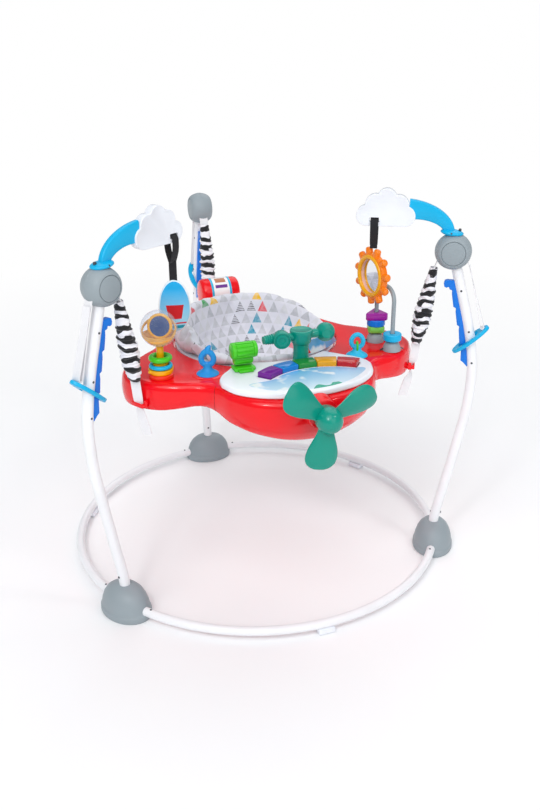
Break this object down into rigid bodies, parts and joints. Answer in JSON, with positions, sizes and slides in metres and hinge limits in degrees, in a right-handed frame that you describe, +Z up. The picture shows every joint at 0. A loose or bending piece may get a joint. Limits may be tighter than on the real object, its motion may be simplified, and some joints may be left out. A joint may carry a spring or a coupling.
{
  "type": "activity jumper",
  "caption": "Baby activity jumper: a fabric bucket seat turns in a toy tray that hangs on covered springs from a round tubular floor frame with toy arms.",
  "frame": {"origin": "on the floor, under the middle of the whole object's box", "axes": "+Z up, +Y from the propeller nose towards the rear leg, +X to the child's left when the child faces the propeller"},
  "size_m": [0.8762, 0.942, 0.824],
  "materials": {
    "white_powder_coat": "satin powder coat",
    "grey_plastic": "satin moulded",
    "blue_plastic": "satin moulded",
    "cyan_plastic": "gloss moulded",
    "white_plastic": "gloss moulded",
    "white_webbing": "woven polyester",
    "spring_steel": "zinc plated wire",
    "striped_fabric": "ruched black and white print",
    "red_plastic": "gloss moulded",
    "teal_plastic": "gloss moulded",
    "green_plastic": "gloss moulded",
    "yellow_plastic": "gloss moulded",
    "orange_plastic": "gloss moulded, mirror film in the middle",
    "purple_plastic": "gloss moulded",
    "blue_silicone": "soft moulded",
    "clear_plastic": "clear moulded",
    "purple_key": "translucent",
    "blue_key": "translucent",
    "green_key": "translucent",
    "amber_key": "translucent",
    "red_key": "translucent",
    "seat_print": "padded, printed with triangles",
    "blue_plush": "padded plush"
  },
  "bodies": {
    "frame": {"base_tube_front": "white_powder_coat", "base_tube_right": "white_powder_coat", "base_tube_left": "white_powder_coat", "foot_left": "grey_plastic", "leg_left": "white_powder_coat", "hub_left": "grey_plastic", "height_rack_left": "blue_plastic", "height_strap_left": "white_webbing", "spring_left": "spring_steel", "spring_cover_left": "striped_fabric", "foot_right": "grey_plastic", "leg_right": "white_powder_coat", "hub_right": "grey_plastic", "height_rack_right": "blue_plastic", "height_strap_right": "white_webbing", "spring_right": "spring_steel", "spring_cover_right": "striped_fabric", "foot_rear": "grey_plastic", "leg_rear": "white_powder_coat", "hub_rear": "grey_plastic", "height_rack_rear": "blue_plastic", "height_strap_rear": "white_webbing", "spring_rear": "spring_steel", "spring_cover_rear": "striped_fabric", "toy_arm_left": "cyan_plastic", "cloud_left": "white_plastic", "toy_arm_right": "cyan_plastic", "cloud_right": "white_plastic"},
    "tray": {"tray_shell": "red_plastic", "console_panel": "white_plastic", "tray_strap_left": "white_webbing", "tray_strap_right": "white_webbing", "tray_strap_rear": "white_webbing", "yoke_post": "teal_plastic", "rattle_stand": "yellow_plastic", "flip_toy_foot": "green_plastic", "loop_teether_left": "blue_silicone", "loop_teether_right": "blue_silicone", "bead_arch": "grey_plastic"},
    "seat": {"seat_ring": "white_plastic", "seat_fabric": "seat_print"},
    "propeller": {"propeller": "teal_plastic"},
    "yoke_head": {"yoke_head": "teal_plastic"},
    "rattle_globe": {"rattle_globe": "clear_plastic"},
    "rattle_ring": {"rattle_ring": "green_plastic"},
    "flip_toy": {"flip_toy": "green_plastic"},
    "bead_green": {"bead_green": "green_plastic"},
    "bead_blue": {"bead_blue": "blue_plastic"},
    "bead_purple": {"bead_purple": "purple_plastic"},
    "bead_nut": {"bead_nut": "cyan_plastic"},
    "plush_toy": {"plush_toy": "blue_plush"},
    "sun_toy": {"sun_toy": "orange_plastic"},
    "key_purple": {"key_purple": "purple_key"},
    "key_blue": {"key_blue": "blue_key"},
    "key_green": {"key_green": "green_key"},
    "key_amber": {"key_amber": "amber_key"},
    "key_red": {"key_red": "red_key"},
    "height_slider_left": {"height_slider_left": "cyan_plastic"},
    "height_slider_right": {"height_slider_right": "cyan_plastic"},
    "height_slider_rear": {"height_slider_rear": "cyan_plastic"}
  },
  "joints": [
    {"name": "tray_bounce", "type": "slide", "parent": "frame", "child": "tray", "axis": [0, 0, 1], "range_m": [-0.09, 0.01], "stiffness_N_per_m": 1200, "springref_m": 0.03344, "deforming": ["spring_left", "spring_cover_left", "spring_right", "spring_cover_right", "spring_rear", "spring_cover_rear"]},
    {"name": "seat_spin", "type": "hinge", "parent": "tray", "child": "seat", "pos_m": [0, -0.0302, 0.478], "axis": [0, 0, 1], "continuous": true},
    {"name": "propeller_spin", "type": "hinge", "parent": "tray", "child": "propeller", "pos_m": [0, -0.4402, 0.467], "axis": [0, -1, 0], "continuous": true},
    {"name": "yoke_turn", "type": "hinge", "parent": "tray", "child": "yoke_head", "pos_m": [0.03, -0.2287, 0.5418], "axis": [0, 0, 1], "range_deg": [-25, 25]},
    {"name": "key_purple_press", "type": "slide", "parent": "tray", "child": "key_purple", "axis": [0, 0, -1], "range_m": [0, 0.003], "stiffness_N_per_m": 300, "springref_m": -0.001},
    {"name": "key_blue_press", "type": "slide", "parent": "tray", "child": "key_blue", "axis": [0, 0, -1], "range_m": [0, 0.003], "stiffness_N_per_m": 300, "springref_m": -0.001},
    {"name": "key_green_press", "type": "slide", "parent": "tray", "child": "key_green", "axis": [0, 0, -1], "range_m": [0, 0.003], "stiffness_N_per_m": 300, "springref_m": -0.001},
    {"name": "key_amber_press", "type": "slide", "parent": "tray", "child": "key_amber", "axis": [0, 0, -1], "range_m": [0, 0.003], "stiffness_N_per_m": 300, "springref_m": -0.001},
    {"name": "key_red_press", "type": "slide", "parent": "tray", "child": "key_red", "axis": [0, 0, -1], "range_m": [0, 0.003], "stiffness_N_per_m": 300, "springref_m": -0.001},
    {"name": "globe_spin", "type": "hinge", "parent": "tray", "child": "rattle_globe", "pos_m": [-0.249, -0.1872, 0.592], "axis": [0, 0, 1], "continuous": true},
    {"name": "rattle_ring_lift", "type": "slide", "parent": "tray", "child": "rattle_ring", "axis": [0, 0, 1], "range_m": [0, 0.018]},
    {"name": "flip_toy_bend", "type": "hinge", "parent": "tray", "child": "flip_toy", "pos_m": [-0.096, -0.2337, 0.5154], "axis": [1, 0, 0], "range_deg": [-22, 22], "stiffness_Nm_per_rad": 0.35},
    {"name": "bead_green_lift", "type": "slide", "parent": "tray", "child": "bead_green", "axis": [0, 0, 1], "range_m": [0, 0.004]},
    {"name": "bead_blue_lift", "type": "slide", "parent": "bead_green", "child": "bead_blue", "axis": [0, 0, 1], "range_m": [0, 0.004]},
    {"name": "bead_purple_lift", "type": "slide", "parent": "bead_blue", "child": "bead_purple", "axis": [0, 0, 1], "range_m": [0, 0.006]},
    {"name": "bead_nut_lift", "type": "slide", "parent": "tray", "child": "bead_nut", "axis": [0, 0, 1], "range_m": [0, 0.03]},
    {"name": "plush_swing", "type": "hinge", "parent": "frame", "child": "plush_toy", "pos_m": [-0.20611, -0.1492, 0.752], "axis": [-0.866, -0.5, 0], "range_deg": [-30, 30]},
    {"name": "sun_swing", "type": "hinge", "parent": "frame", "child": "sun_toy", "pos_m": [0.2191, -0.1567, 0.752], "axis": [0.866, -0.5, 0], "range_deg": [-30, 3]},
    {"name": "height_left_slide", "type": "slide", "parent": "frame", "child": "height_slider_left", "axis": [0.1252, 0.0723, 0.9895], "range_m": [-0.045, 0.045], "deforming": ["height_strap_left"]},
    {"name": "height_right_slide", "type": "slide", "parent": "frame", "child": "height_slider_right", "axis": [-0.1252, 0.0723, 0.9895], "range_m": [-0.045, 0.045], "deforming": ["height_strap_right"]},
    {"name": "height_rear_slide", "type": "slide", "parent": "frame", "child": "height_slider_rear", "axis": [0, -0.1446, 0.9895], "range_m": [-0.045, 0.045], "deforming": ["height_strap_rear"]}
  ]
}
